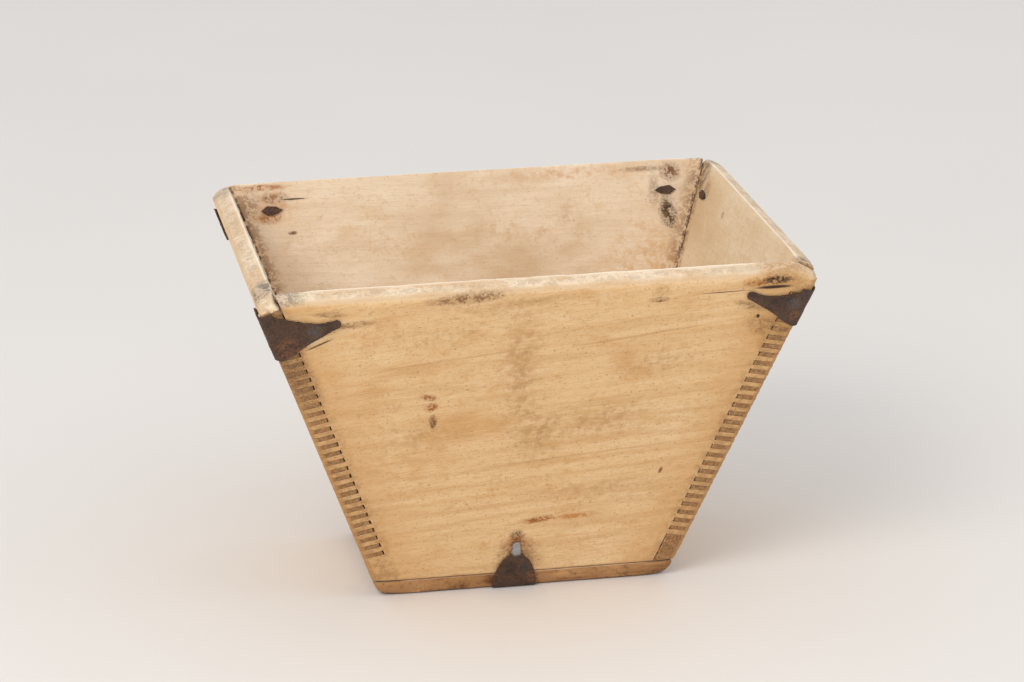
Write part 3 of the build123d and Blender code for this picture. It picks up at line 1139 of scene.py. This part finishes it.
class SCOOP_OT_corner_irons(bpy.types.Operator):
    """Build the four forged irons that wrap the upper corners"""

    bl_idname = "scoop.corner_irons"
    bl_label = "Corner irons"

    def execute(self, context):
        # places of painted sheen on the front irons, in millimetres
        sheen_spots = {
            "front_left": [(on_board("front", -128, -20), 5.0)],
            "front_right": [(on_board("front", 146, -22), 4.5)],
        }
        rust = {
            "front_left": [(on_board("front", -143, -31), 9.0)],
            "front_right": [(on_board("front", 147, -30), 4.0)],
            "back_right": [(on_board("back", -140, -30), 6.0)],
            "back_left": [(on_board("left", -100, -24), 6.0)],
        }
        for corner in CORNERS:
            name = f"forged_iron_{corner}"
            finish = iron_finish(name, sheen_spots=sheen_spots.get(corner, ()), rust=rust[corner])
            forged(f"corner_iron_{corner}", finish)
        return {"FINISHED"}


class SCOOP_OT_base_irons(bpy.types.Operator):
    """Build the two smaller irons that hold the bottom board"""

    bl_idname = "scoop.base_irons"
    bl_label = "Base irons"

    def execute(self, context):
        foot = -(box().height - box().board * run()) / rise() / MM
        for side in ("front", "back"):
            tip = [(on_board("front", -6, foot + 28), 3.4), (on_board("front", -6, foot + 32), 3.4)]
            rust = [(on_board(side, 4, foot + 8), 5.0)]
            finish = iron_finish(f"forged_iron_base_{side}", bare=tip if side == "front" else (), rust=rust)
            forged(f"base_iron_{side}", finish)
        return {"FINISHED"}


class SCOOP_OT_nails(bpy.types.Operator):
    """Give the square nails under the bottom board their rusty finish"""

    bl_idname = "scoop.nails"
    bl_label = "Nails"

    def execute(self, context):
        nails = frame["nodes"]["bottom_nails"]
        nails.data.materials.clear()
        nails.data.materials.append(iron_finish("nail_iron"))
        return {"FINISHED"}


# ---------------------------------------------------------------- floor, light and camera


CAMERA_TURN = -9.84  # degrees round the scoop, to the right of the front
CAMERA_TILT = 17.16  # degrees above level
CAMERA_ROLL = -0.85
CAMERA_AIM = Vector((0.0049, 0.0, 0.1343))
CAMERA_AWAY = 2.268
CAMERA_LENS = 133.6


class SCOOP_OT_stage(bpy.types.Operator):
    """Set the pale floor, the soft light and the camera"""

    bl_idname = "scoop.stage"
    bl_label = "Floor, light and camera"

    def execute(self, context):
        scene = context.scene
        rest()
        bpy.ops.mesh.primitive_plane_add(size=12, location=(0, 0, 0))
        floor = context.active_object
        floor.name = "floor"
        make = Finish("pale_floor")
        shade = make.mix(make.noise(make.where, 0.4, 2.0), (0.70, 0.655, 0.61), (0.74, 0.70, 0.655))
        grain = make.bump(make.noise(make.where, 0.004), 0.0002, 0.2)
        floor.data.materials.append(make.done(shade, 0.75, grain))

        world = bpy.data.worlds.new("soft_sky")
        world.use_nodes = True
        sky = world.node_tree.nodes["Background"]
        sky.inputs["Color"].default_value = (0.93, 0.96, 1.0, 1)
        sky.inputs["Strength"].default_value = 0.92
        scene.world = world

        lamps = (
            ("window", (-1.6, -1.9, 2.1), 1.6, 48.0, (1.0, 0.97, 0.93)),
            ("fill", (2.2, -1.2, 1.6), 2.0, 10.0, (0.96, 0.98, 1.0)),
        )
        for name, location, size, power, tint in lamps:
            aim = (Vector((0, 0, 0.1)) - Vector(location)).to_track_quat("-Z", "Y").to_euler()
            bpy.ops.object.light_add(type="AREA", location=location, rotation=aim)
            lamp = context.active_object
            lamp.name = name
            lamp.data.size = size
            lamp.data.energy = power
            lamp.data.color = tint

        turn, tilt = math.radians(CAMERA_TURN), math.radians(CAMERA_TILT)
        back = Vector((math.sin(turn) * math.cos(tilt), -math.cos(turn) * math.cos(tilt), math.sin(tilt)))
        roll = Matrix.Rotation(math.radians(CAMERA_ROLL), 4, "Z").to_quaternion()
        look = (-back).to_track_quat("-Z", "Y") @ roll
        bpy.ops.object.camera_add(location=CAMERA_AIM + back * CAMERA_AWAY, rotation=look.to_euler())
        camera = context.active_object
        camera.data.sensor_width = 36.0
        camera.data.lens = CAMERA_LENS
        camera.data.clip_start = 0.1
        camera.data.clip_end = 60.0
        scene.camera = camera
        scene.view_settings.view_transform = "Standard"
        return {"FINISHED"}


class SCOOP_PT_build(bpy.types.Panel):
    """Buttons that build the scoop piece by piece"""

    bl_idname = "SCOOP_PT_build"
    bl_label = "Grain scoop"
    bl_space_type = "VIEW_3D"
    bl_region_type = "UI"
    bl_category = "Scoop"

    def draw(self, context):
        for group in (context.scene.scoop_box, context.scene.scoop_wear):
            column = self.layout.column(align=True)
            for name in group.__annotations__:
                column.prop(group, name)
        for operator in OPERATORS:
            self.layout.operator(operator.bl_idname)


OPERATORS = (
    SCOOP_OT_side_boards,
    SCOOP_OT_bottom_board,
    SCOOP_OT_corner_irons,
    SCOOP_OT_base_irons,
    SCOOP_OT_nails,
    SCOOP_OT_stage,
)
CLASSES = (ScoopBox, ScoopWear, *OPERATORS, SCOOP_PT_build)


def register():
    for made in CLASSES:
        bpy.utils.register_class(made)
    bpy.types.Scene.scoop_box = bpy.props.PointerProperty(type=ScoopBox)
    bpy.types.Scene.scoop_wear = bpy.props.PointerProperty(type=ScoopWear)


def unregister():
    del bpy.types.Scene.scoop_wear
    del bpy.types.Scene.scoop_box
    for made in reversed(CLASSES):
        bpy.utils.unregister_class(made)


def main():
    register()
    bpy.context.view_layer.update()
    bpy.ops.scoop.side_boards()
    bpy.ops.scoop.bottom_board()
    bpy.ops.scoop.corner_irons()
    bpy.ops.scoop.base_irons()
    bpy.ops.scoop.nails()
    bpy.ops.scoop.stage()


if __name__ == "__main__":
    main()
